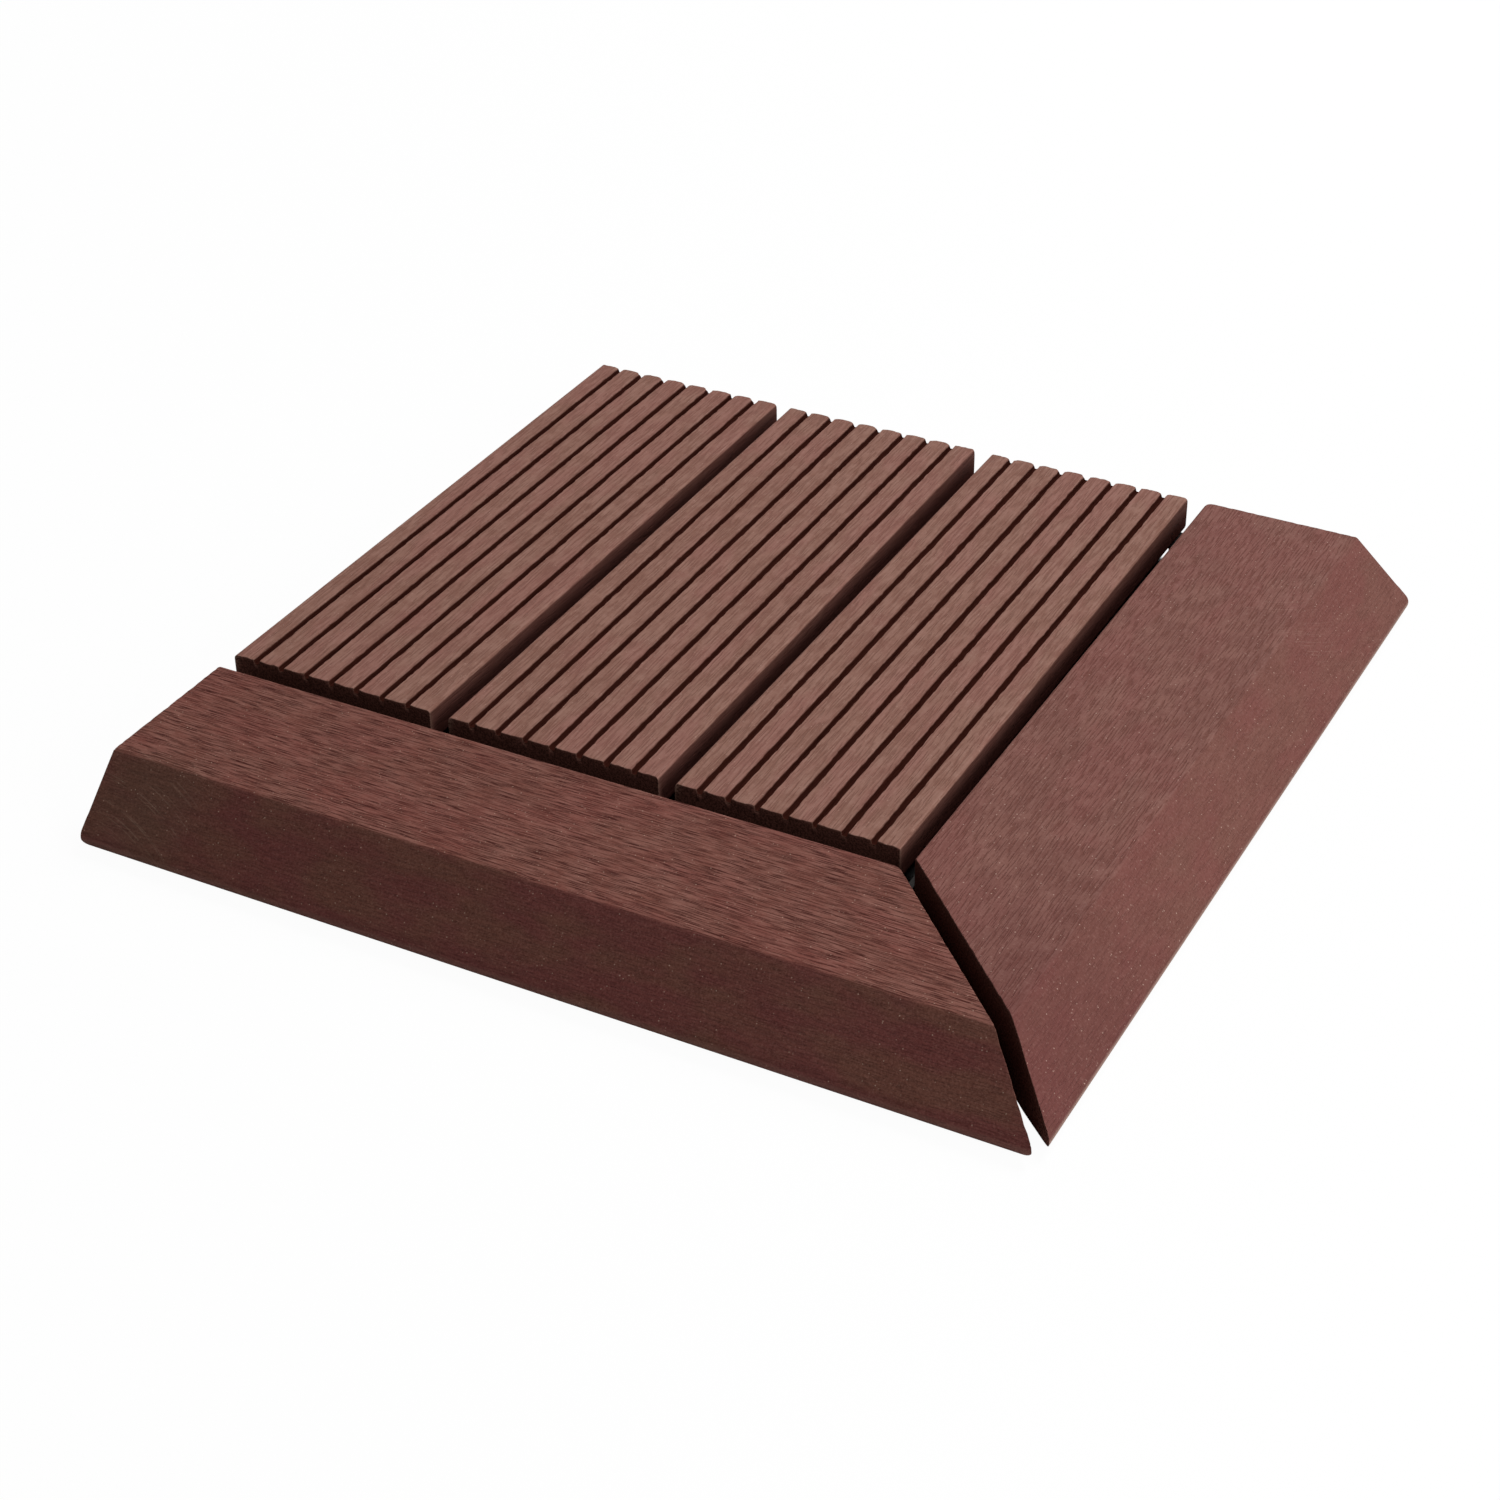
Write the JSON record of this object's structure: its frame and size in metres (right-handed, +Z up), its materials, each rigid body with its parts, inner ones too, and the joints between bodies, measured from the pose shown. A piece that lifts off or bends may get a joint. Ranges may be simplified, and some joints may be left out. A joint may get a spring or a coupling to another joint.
{
  "type": "interlocking_deck_tile_edge_corner",
  "caption": "Bevelled corner piece of an interlocking deck tile: grooved composite slats and mitred edge boards on a black lattice base",
  "frame": {"origin": "on the ground, under the middle of the whole tile's box, rings included", "axes": "+Z up, slats run along Y, bevelled edge boards at the front (-Y) and the right (+X)"},
  "size_m": [0.318, 0.3003, 0.023],
  "materials": {
    "slat_composite": "brushed, mottled brown",
    "edge_composite": "brushed, fine dark streaks",
    "base_plastic": "moulded, satin black",
    "screw_steel": "zinc plated"
  },
  "bodies": {
    "root": {"slat_left": "slat_composite", "slat_middle": "slat_composite", "slat_right": "slat_composite", "front_edge_board": "edge_composite", "right_edge_board": "edge_composite", "base_grid": "base_plastic", "slat_screws": "screw_steel", "front_board_screws": "screw_steel", "right_board_screws": "screw_steel"}
  },
  "joints": []
}
